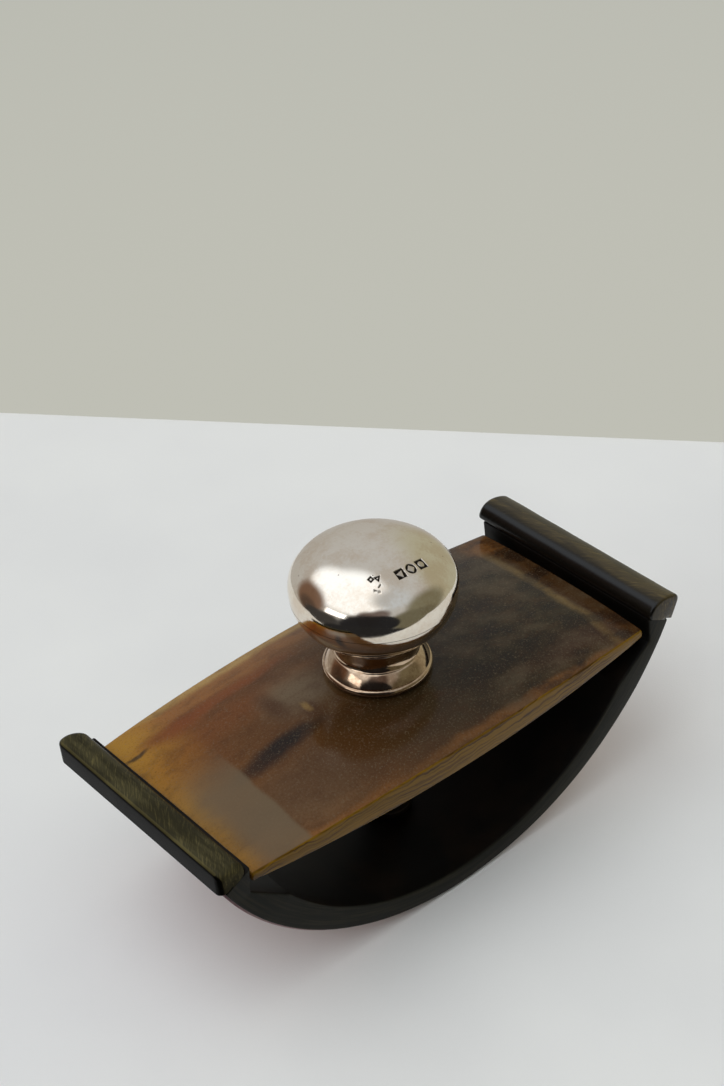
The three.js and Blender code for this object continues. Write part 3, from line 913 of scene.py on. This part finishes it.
def plate_material():
    s = Shader("gold_horn")
    place = warped(s, s.mm, 18, 5.0, 3)
    fine_place = warped(s, place, 4.0, 1.5, 9)
    shifted = s.vector("ADD", fine_place, (5, 5, 5))
    long_streaks = s.noise(s.stretch(shifted, (1 / 34, 1 / 5, 1 / 5)), 1.0, 3, 0.6)
    granules = s.noise(s.mm, 1.9, 5, 0.75)
    broken = s.band(long_streaks, 0.25, 0.6, 0.75, 1.0)
    base = s.mix(s.band(long_streaks, 0.3, 0.7), BROWN, TAN)
    for tint, middle, size, soft, strength in PLATE_PATCHES:
        shape = patch(s, fine_place, middle, size, soft)
        base = s.mix(s.times(s.times(shape, broken), strength), base, tint)
    mottle = s.noise(s.stretch(fine_place, (0.16, 0.3, 0.3)), 1.0, 5, 0.6)
    base = s.mix(s.band(mottle, 0.45, 0.75, 0.0, 0.4), base, UMBER)
    smoke = s.noise(s.stretch(place, (0.09, 0.14, 0.2)), 1.0, 5, 0.55)
    right = s.band(s.split(s.mm)[0], 0, 24)
    base = s.mix(s.times(right, s.band(smoke, 0.46, 0.7, 0.0, 0.4)), base, ASH)
    base = s.mix(s.times(right, s.band(smoke, 0.52, 0.36, 0.0, 0.6)), base, INK)
    base = s.mix(s.times(right, 0.25), base, INK)
    base = s.mix(s.band(granules, 0.5, 0.7, 0.0, 0.5), base, UMBER)
    base = s.mix(s.band(granules, 0.47, 0.35, 0.0, 0.5), base, ASH)
    x, y, _ = s.split(place)
    # A pale painted reflection of the window's light on the plate's near-left end, crisp at x = -45 mm and
    # strongest towards the near side
    painted_window_haze = s.times(s.band(x, -45, -46.5), s.band(x, -63, -55))
    painted_window_haze = s.times(painted_window_haze, s.band(y, 9, -7, 0.0, 0.75))
    base = s.mix(painted_window_haze, base, ASH)
    side = s.band(s.math("ABSOLUTE", s.split(s.facing)[1]), 0.45, 0.75)
    lamina = s.noise(s.stretch(fine_place, (0.04, 0.1, 1.35)), 1.0, 3, 0.5)
    strip = s.mix(s.band(lamina, 0.4, 0.7), colour(130, 95, 18), colour(66, 40, 10))
    base = s.mix(side, base, strip)
    wear = s.noise(s.mm, 0.11, 3)
    scratches = s.noise(s.stretch(warped(s, s.mm, 20, 8, 40), (0.5, 6, 1)), 1.0, 3, 0.7)
    normal = s.bump(granules, 0.004)
    normal = s.bump(scratches, 0.003, normal)
    return s.finish(Base_Color=base, Roughness=s.band(wear, 0.35, 0.7, 0.12, 0.19),
                    Specular_IOR_Level=0.22, Normal=normal)


def slab_layers(s):
    """Places for noise drawn out into thin layers that follow the slab's bend."""
    x, y, z = s.split(s.mm)
    depth = s.vector("LENGTH", s.join(x, 0.0, s.math("SUBTRACT", z, ROLL)))
    turn = s.math("ARCTAN2", x, s.math("SUBTRACT", ROLL, z))
    return s.join(s.times(depth, 2.2), s.times(turn, 5.0), s.times(y, 0.25))


def rocker_material():
    s = Shader("dark_horn")
    layers = s.noise(slab_layers(s), 1.0, 5, 0.6)
    clouds = s.noise(s.mm, 0.07, 4)
    side = s.band(s.math("ABSOLUTE", s.split(s.facing)[1]), 0.5, 0.85)
    skin = s.mix(s.band(clouds, 0.4, 0.7), colour(10, 8, 5), colour(24, 16, 9))
    worn = s.mix(s.band(layers, 0.4, 0.66), colour(24, 24, 18), colour(42, 39, 28))
    worn = s.mix(s.band(s.noise(s.mm, 0.25, 4), 0.5, 0.75, 0.0, 0.5), worn, colour(20, 20, 17))
    base = s.mix(side, skin, worn)
    scratches = s.noise(s.stretch(warped(s, s.mm, 18, 6, 12), (0.6, 5, 5)), 1.0, 3, 0.7)
    normal = s.bump(layers, 0.02)
    normal = s.bump(scratches, 0.006, normal)
    return s.finish(Base_Color=base, Roughness=s.band(side, 0, 1, 0.5, 0.4), Normal=normal, IOR=1.2)


def bar_material(name, side, crown, crown_fleck, skin, inner_shade, gloss, wear):
    """Horn of an end bar: a crown with fine slanting flecks, near-black sides and a lighter outer arris,
    partly rubbed wear and partly a painted highlight.

    inner_shade is how far a face turns inward where the dark of the inner side starts and is full. gloss is
    the index of refraction, and wear is the strength of the lighter arris, part wear and part painted
    highlight.
    """
    s = Shader(name)
    lean = math.cos(END_ANGLE)
    steep = s.band(s.vector("DOT_PRODUCT", s.facing, (side * math.sin(END_ANGLE), 0.0, -lean)), 0.2, 0.5)
    inner = s.band(s.vector("DOT_PRODUCT", s.facing, (-side, 0.0, 0.0)), *inner_shade)
    x, y, z = s.split(warped(s, s.mm, 7, 1.6, 15))
    crossing = s.math("ADD", s.times(x, 0.9 * side), s.times(y, 0.6))
    fibres = s.join(s.times(crossing, 3.2), s.times(y, 0.28), s.times(z, 0.6))
    fleck = s.noise(fibres, 1.0, 4, 0.6)
    clouds = s.noise(s.stretch(s.mm, (0.3, 0.06, 0.3)), 1.0, 3)
    base = s.mix(s.band(fleck, 0.48, 0.72), crown, crown_fleck)
    base = s.mix(s.band(clouds, 0.38, 0.62, 0.0, 0.5), base, skin)
    base = s.mix(steep, base, skin)
    base = s.mix(inner, base, skin)
    # Lighter outer arris: partly wear, partly a painted highlight standing in for the glint of light along
    # the arris
    arris = s.vector("DOT_PRODUCT", s.facing, (side * 0.72, 0.0, 0.69))
    arris_wear_and_highlight = s.times(s.band(arris, 0.93, 0.99), s.band(clouds, 0.35, 0.6, 0.9, 0.45))
    base = s.mix(s.times(arris_wear_and_highlight, wear), base, crown_fleck)
    return s.finish(Base_Color=base, Roughness=s.band(fleck, 0.3, 0.7, 0.2, 0.26),
                    Normal=s.bump(fleck, 0.003), IOR=gloss)


def silver_material(name, bright, dull):
    s = Shader(name)
    clouds = s.noise(s.mm, 0.12, 4, 0.6)
    specks = s.noise(s.mm, 1.3, 4, 0.7)
    tarnish = s.band(s.math("ADD", s.times(clouds, 0.7), s.times(specks, 0.3)), 0.42, 0.62)
    base = s.mix(tarnish, bright, dull)
    pits = s.node("ShaderNodeTexVoronoi", {"Vector": s.mm, "Scale": 0.28})["Distance"]
    base = s.mix(s.band(pits, 0.055, 0.03, 0.0, 0.8), base, colour(90, 72, 60))
    recess = s.node("ShaderNodeAttribute", attribute_name="recess")["Fac"]
    base = s.mix(recess, base, colour(34, 28, 24))
    normal = None
    for seed, factors in ((3, (0.5, 14, 3)), (17, (13, 0.6, 3)), (29, (7, 9, 0.5))):
        hairs = s.noise(s.stretch(warped(s, s.mm, 9, 5, seed), factors), 1.0, 2, 0.6)
        normal = s.bump(hairs, 0.0012, normal)
    normal = s.bump(clouds, 0.01, normal)
    rough = s.band(specks, 0.35, 0.7, 0.075, 0.13)
    return s.finish(Base_Color=base, Metallic=1.0, Normal=normal,
                    Roughness=s.math("ADD", rough, s.times(recess, 0.35)))


def brass_material():
    s = Shader("brass")
    clouds = s.noise(s.mm, 0.3, 5, 0.6)
    turned = s.noise(s.stretch(s.mm, (0.4, 0.4, 9)), 1.0, 2)
    base = s.mix(s.band(clouds, 0.38, 0.66), colour(196, 158, 88), colour(128, 92, 48))
    return s.finish(Base_Color=base, Metallic=1.0, Roughness=s.band(clouds, 0.3, 0.7, 0.24, 0.42),
                    Normal=s.bump(turned, 0.006))


def patina_material():
    s = Shader("pillar_patina")
    clouds = s.noise(s.mm, 0.3, 5, 0.6)
    base = s.mix(s.band(clouds, 0.38, 0.66), colour(44, 34, 22), colour(22, 18, 14))
    return s.finish(Base_Color=base, Metallic=0.6, Roughness=s.band(clouds, 0.3, 0.7, 0.4, 0.6),
                    Normal=s.bump(clouds, 0.02))


def paper_material():
    s = Shader("blotting_paper")
    fibre = s.noise(warped(s, s.mm, 1.4, 1.6, 8), 3.2, 5, 0.7)
    mottle = s.noise(s.mm, 0.22, 5, 0.6)
    base = s.mix(s.band(mottle, 0.35, 0.65), colour(190, 162, 160), colour(176, 142, 144))
    base = s.mix(s.band(fibre, 0.55, 0.75, 0.0, 0.5), base, colour(206, 184, 180))
    edge = s.band(s.split(s.mm)[2], 30, 45)
    base = s.mix(s.times(edge, 0.7), base, colour(120, 72, 82))
    return s.finish(Base_Color=base, Roughness=0.95, Normal=s.bump(fibre, 0.05),
                    Sheen_Weight=0.25, Sheen_Roughness=0.6)


def felt_material():
    s = Shader("felt")
    fibre = s.noise(warped(s, s.mm, 0.8, 1.5, 2), 4.0, 5, 0.7)
    base = s.mix(s.band(fibre, 0.35, 0.7), colour(70, 54, 40), colour(112, 90, 68))
    return s.finish(Base_Color=base, Roughness=1.0, Normal=s.bump(fibre, 0.12),
                    Sheen_Weight=0.4, Sheen_Roughness=0.5)


def pitch_material():
    s = Shader("pitch")
    lumps = s.noise(s.mm, 0.5, 5, 0.6)
    base = s.mix(s.band(lumps, 0.35, 0.65), colour(34, 25, 19), colour(58, 44, 34))
    return s.finish(Base_Color=base, Roughness=s.band(lumps, 0.3, 0.7, 0.45, 0.75),
                    Normal=s.bump(lumps, 0.15))


# Pieces

def mark_recesses(piece):
    """Notes on the dome's mesh how deep each point is struck, for the dark left in the marks."""
    depths = []
    for vertex in piece.data.vertices:
        x, y, z = vertex.co / MM
        shown = z > HEAD_MIDDLE and on_dome((x, y, z))
        depths.append(min(MARK_DARKENING * mark_depth(x, y) / MARK_DEPTH, 1) if shown else 0.0)
    piece.data.attributes.new("recess", "FLOAT", "POINT").data.foreach_set("value", depths)


def build():
    dark, gold, brass = rocker_material(), plate_material(), brass_material()
    silver = silver_material("silver", colour(240, 231, 217), colour(228, 213, 194))
    # Silver toned darker and browner for the neck and foot bead: a painted reflection of the brown plate
    # and the dark surroundings they mirror
    reflection_toned_silver = silver_material("silver_painted_reflection", colour(206, 182, 156), colour(170, 142, 116))
    left_horn = bar_material("left_bar_horn", -1, colour(66, 61, 41), colour(98, 89, 56),
                             colour(9, 7, 4), (0.75, 0.95), 1.1, 0.9)
    right_horn = bar_material("right_bar_horn", 1, colour(66, 55, 31), colour(98, 82, 46),
                              colour(13, 10, 6), (0.05, 0.5), 1.38, 0.5)
    rocker = make_piece("rocker", *rocker_mesh(), dark, "rocker", "rocker_base", "dark_horn")
    floor_top = ROLL - SLAB_RADIUS + SLAB_FLOOR
    bolt_low, bolt_high = box_mm("centre_bolt")
    head = bolt_high.x + BOLT_HEAD_CLEARANCE
    sink = bolt_low.z + BOLT_HEAD_HEIGHT + BOLT_HEAD_CLEARANCE
    bolt_hole = lathe([(0, -2), (head, -2), (head, bolt_low.z + 0.4), (BORE, sink),
                       (BORE, floor_top + 2), (0, floor_top + 2)], 48)
    peg_holes = [peg_cut(side, y, PEG_HOLE_RADIUS, PEG_LOW - 0.3, 2)
                 for side in (-1, 1) for y in (-PEG_REACH, PEG_REACH)]
    cut(rocker, bolt_hole, *peg_holes)
    paper = make_piece("paper", *paper_mesh(), paper_material(), "rocker", "blotting_paper",
                       "blotting_paper")
    for name, side, outline, horn, ends in (
        ("left", -1, left_outline(), left_horn, LEFT_ENDS),
        ("right", 1, right_outline(), right_horn, RIGHT_ENDS),
    ):
        bar = make_piece(f"{name}_bar", *bar_mesh(side, outline, *ends), horn, f"{name}_bar",
                         f"{name}_end_bar", "dark_horn")
        cut(bar, *[peg_cut(side, y, PEG_RADIUS + 0.1, -2, PEG_HIGH + 0.1)
                   for y in (-PEG_REACH, PEG_REACH)])
        for label, y in (("near", -PEG_REACH), ("far", PEG_REACH)):
            make_piece(f"{name}_peg_{label}", *peg_mesh(side, y), brass, f"{name}_bar",
                       f"{name}_bar_peg_{label}", "brass")
    plate = make_piece("plate", *plate_mesh(), gold, "top", "top_plate", "gold_horn")
    cut(plate, lathe([(0, 30), (PLATE_HOLE_RADIUS, 30), (PLATE_HOLE_RADIUS, 60), (0, 60)], 64))
    for name, mesh, material, body, node, slot in (
        ("bolt", bolt_mesh(), brass, "rocker", "centre_bolt", "brass"),
        ("pillar", pillar_mesh(), patina_material(), "rocker", "spacer_pillar", "brass"),
        ("washer", washer_mesh(), felt_material(), "knob_seat", "felt_washer", "felt"),
        ("foot_bead", bead_mesh(), reflection_toned_silver, "knob", "knob_foot_bead", "silver"),
        ("foot_plate", foot_plate_mesh(), silver, "knob", "knob_foot_plate", "silver"),
        ("neck", shell_mesh(neck_outline), reflection_toned_silver, "knob", "knob_neck", "silver"),
        ("collar", collar_mesh(), silver, "knob", "knob_neck_collar", "silver"),
        ("bowl", shell_mesh(bowl_outline), silver, "knob", "knob_bowl", "silver"),
        ("dome", dome_mesh(), silver, "knob", "knob_dome", "silver"),
        ("core", core_mesh(), pitch_material(), "knob", "knob_core", "pitch"),
        ("bush", bush_mesh(), brass, "knob", "threaded_bush", "brass"),
    ):
        piece = make_piece(name, *mesh, material, body, node, slot)
        if name == "dome":
            mark_recesses(piece)


build()


# Table top, light and backdrop

TABLE_TURN = math.radians(-49.3)
TABLE_FRONT = -104
TABLE_BACK = 186
TABLE_SIDES = 420
TABLE_THICKNESS = 18
TABLE_ROUNDING = 4
TABLE_DROP = 0.02


def table_material():
    s = Shader("table")
    weave = s.noise(s.mm, 2.0, 3)
    cloud = s.noise(s.mm, 0.01, 3)
    base = s.mix(s.band(cloud, 0.35, 0.65), colour(236, 234, 229), colour(231, 229, 225))
    return s.finish(Base_Color=base, Roughness=0.9, Normal=s.bump(weave, 0.03))


def make_table():
    corners = [(-TABLE_SIDES, TABLE_FRONT), (TABLE_SIDES, TABLE_FRONT),
               (TABLE_SIDES, TABLE_BACK), (-TABLE_SIDES, TABLE_BACK)]
    turn = Matrix.Rotation(TABLE_TURN, 3, "Z")
    layers = [[turn @ Vector((x, y, z)) for x, y in corners] for z in (-TABLE_THICKNESS, -TABLE_DROP)]
    table = add_object("table", new_mesh("table", *loft(layers)))
    table.data.materials.append(table_material())
    bevel = table.modifiers.new("edge", "BEVEL")
    bevel.width = TABLE_ROUNDING * MM
    bevel.segments = 4


def direction(azimuth, elevation):
    """A unit direction, with azimuth 0 along +Y and 90 along +X."""
    a, e = math.radians(azimuth), math.radians(elevation)
    return (math.sin(a) * math.cos(e), math.cos(a) * math.cos(e), math.sin(e))


# Room round the object, each part laid over the ones before it: radiance, then lobes of
# azimuth, elevation, wide angle and narrow angle
WORLD_LOBES = (
    ((0.43, 0.42, 0.32), [(90, 10, 50, 26)]),
    ((0.20, 0.19, 0.13), [(148, 14, 36, 20)]),
    ((0.15, 0.14, 0.095), [(168, -10, 34, 24), (180, 6, 26, 14)]),
    ((1.24, 1.32, 1.42), [(-75, 64, 40, 25), (-112, 62, 36, 22), (-28, 47, 22, 9)]),
    ((0.55, 0.60, 0.66), [(-178, 60, 26, 8)]),
    ((0.19, 0.118, 0.082), [(-44, 17, 29, 17)]),
    ((0.10, 0.07, 0.055), [(-48, 4, 20, 8)]),
    ((0.05, 0.048, 0.047), [(-78, -2, 24, 13), (-62, -6, 20, 12)]),
    ((0.16, 0.13, 0.125), [(-148, 34, 16, 7), (-130, 31, 16, 7)]),
    ((0.018, 0.018, 0.020), [(-128, 0, 38, 29), (-144, 4, 29, 25)]),
    ((0.02, 0.02, 0.021), [(-120, -50, 52, 44)]),
)
DIFFUSE_GAIN = 1.34
BACKDROP_LOW = (0.52, 0.52, 0.46, 1)
BACKDROP_HIGH = (0.44, 0.45, 0.41, 1)
ROOM_LOW = (0.46, 0.45, 0.43, 1)
ROOM_HIGH = (0.52, 0.53, 0.54, 1)


def make_world():
    """The room, as light and reflections see it, and a plain wall behind the table for the camera."""
    world = bpy.data.worlds.new("studio")
    bpy.context.scene.world = world
    world.use_nodes = True
    s = Nodes(world.node_tree)
    s.tree.nodes.clear()
    way = s.node("ShaderNodeTexCoord")["Generated"]
    up = s.split(way)[2]

    def lobe(azimuth, elevation, wide, narrow):
        """1 within the narrow angle of a direction, easing to 0 at the wide one."""
        toward = s.vector("DOT_PRODUCT", way, direction(azimuth, elevation))
        return s.band(toward, math.cos(math.radians(wide)), math.cos(math.radians(narrow)))

    glow = s.mix(s.band(up, -0.1, 0.75), ROOM_LOW, ROOM_HIGH)
    for tint, lobes in WORLD_LOBES:
        for shape in lobes:
            glow = s.mix(lobe(*shape), glow, (*tint, 1))
    backdrop = s.mix(s.band(up, -0.5, -0.05), BACKDROP_LOW, BACKDROP_HIGH)
    path = s.node("ShaderNodeLightPath")
    glow = s.mix(path["Is Diffuse Ray"], glow, s.stretch(glow, (DIFFUSE_GAIN,) * 3))
    light = s.node("ShaderNodeBackground", {"Color": s.mix(path["Is Camera Ray"], glow, backdrop)})
    s.node("ShaderNodeOutputWorld", {"Surface": light[0]})


# The window's light, from the left. Its distance, size and aim are in metres.
WINDOW_WAY = direction(-88, 27)
WINDOW_DISTANCE = 0.9
WINDOW_SIZE = (0.42, 0.18)
WINDOW_AIM = Vector((0, 0, 0.07))
WINDOW_TINT = (0.96, 1.0, 1.05)
WINDOW_POWER = 2.0 * math.pi * WINDOW_SIZE[0] * WINDOW_SIZE[1]


def make_window():
    data = bpy.data.lights.new("window", "AREA")
    data.shape = "RECTANGLE"
    data.size, data.size_y = WINDOW_SIZE
    data.energy = WINDOW_POWER
    data.color = WINDOW_TINT
    light = add_object("window", data)
    place = Vector(WINDOW_WAY) * WINDOW_DISTANCE
    turn = (WINDOW_AIM - place).to_track_quat("-Z", "Y").to_matrix().to_4x4()
    light.matrix_world = Matrix.Translation(place) @ turn


make_table()
make_world()
make_window()
bpy.context.scene.view_settings.view_transform = "Standard"
